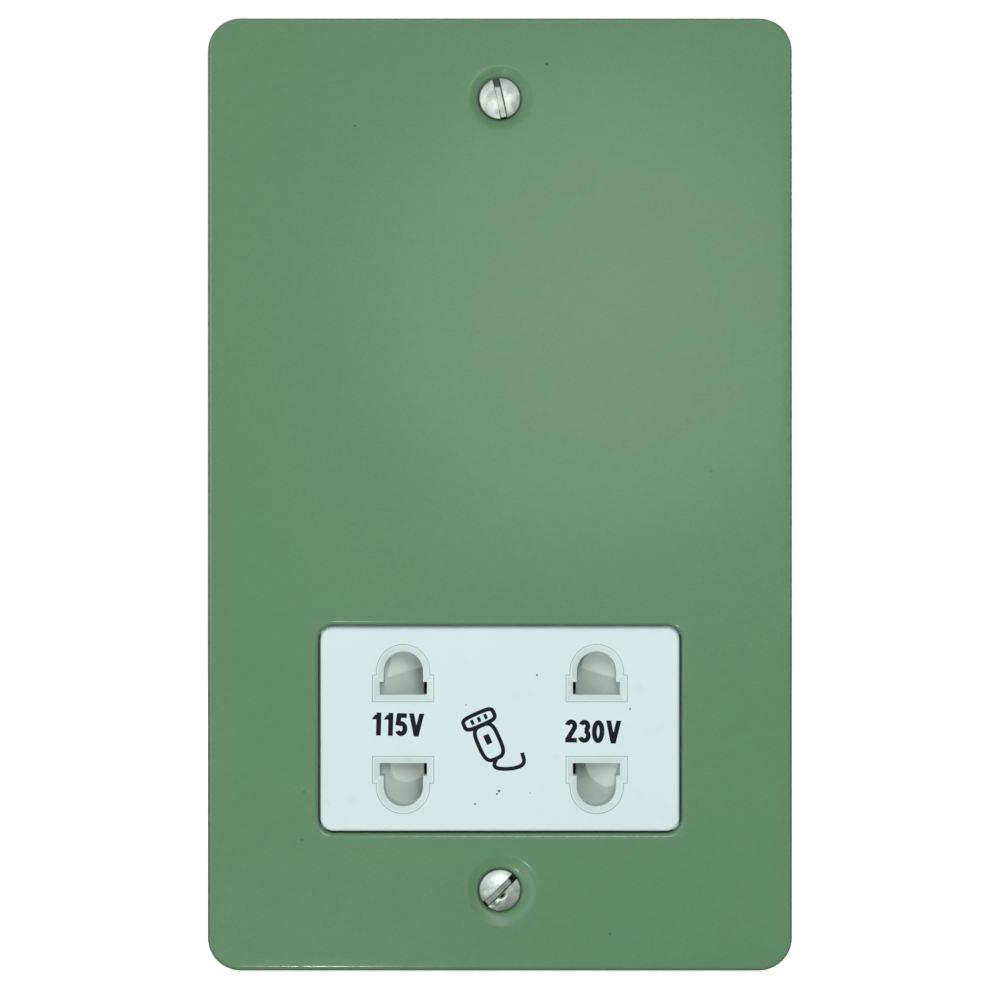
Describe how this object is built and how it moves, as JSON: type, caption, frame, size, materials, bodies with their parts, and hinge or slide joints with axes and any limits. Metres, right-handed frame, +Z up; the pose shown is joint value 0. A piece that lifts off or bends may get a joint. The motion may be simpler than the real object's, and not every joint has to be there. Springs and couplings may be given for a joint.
{
  "type": "shaver supply socket",
  "caption": "Dual-voltage shaver supply socket on a flat metal plate for a tall wall box, with a sliding safety shutter and an isolating transformer behind.",
  "frame": {"origin": "on the wall plane, midway between the two fixing screws", "axes": "+X right and +Z up as seen from the room, +Y into the wall; the plate's face looks along -Y"},
  "size_m": [0.089, 0.0417, 0.145],
  "materials": {
    "plate_paint": "satin sage green powder coat",
    "nickel_screw": "nickel-plated, turned",
    "white_insert": "glossy cool white moulding",
    "collar_plastic": "glossy cool white moulding",
    "shutter_plastic": "satin off-white moulding",
    "body_plastic": "satin off-white moulding",
    "spring_steel": "drawn wire",
    "zinc_steel": "bright zinc plate",
    "contact_brass": "rolled strip",
    "terminal_brass": "machined",
    "core_steel": "varnished laminations",
    "bobbin_plastic": "glass-filled black moulding",
    "winding_tape": "taped windings",
    "cutout_case": "matt",
    "brown_lead": "smooth insulation",
    "blue_lead": "smooth insulation",
    "white_lead": "smooth insulation",
    "green_yellow_lead": "smooth insulation",
    "copper_strap": "tinned"
  },
  "bodies": {
    "socket": {"aperture_block": "collar_plastic", "base_screws": "zinc_steel", "bobbin": "bobbin_plastic", "bottom_fixing_screw": "nickel_screw", "common_contact": "contact_brass", "common_lead": "white_lead", "contact_115": "contact_brass", "contact_230": "contact_brass", "contact_base": "body_plastic", "contact_retainer": "body_plastic", "core_clamp": "zinc_steel", "core_e_stack": "core_steel", "core_i_stack": "core_steel", "cover_screws": "zinc_steel", "cutout_lead": "brown_lead", "earth_lead": "green_yellow_lead", "earth_strap": "copper_strap", "earth_terminal": "terminal_brass", "front_housing": "body_plastic", "front_plate": "plate_paint", "insert_cover": "white_insert", "lead_115": "white_lead", "lead_230": "white_lead", "left_shutter_spring": "spring_steel", "live_lead": "brown_lead", "live_terminal": "terminal_brass", "neutral_lead": "blue_lead", "neutral_terminal": "terminal_brass", "primary_winding": "winding_tape", "rear_cover": "body_plastic", "retainer_screws": "zinc_steel", "right_shutter_spring": "spring_steel", "secondary_winding": "winding_tape", "stud_nuts": "zinc_steel", "stud_washers": "zinc_steel", "terminal_screws": "zinc_steel", "thermal_cutout": "cutout_case", "top_fixing_screw": "nickel_screw", "winding_tags": "zinc_steel"},
    "shutter": {"shutter_slide": "shutter_plastic"}
  },
  "joints": [
    {"name": "shutter_travel", "type": "slide", "parent": "socket", "child": "shutter", "axis": [1, 0, 0], "range_m": [-0.006, 0.006], "stiffness_N_per_m": 150, "deforming": ["left_shutter_spring", "right_shutter_spring"]}
  ]
}
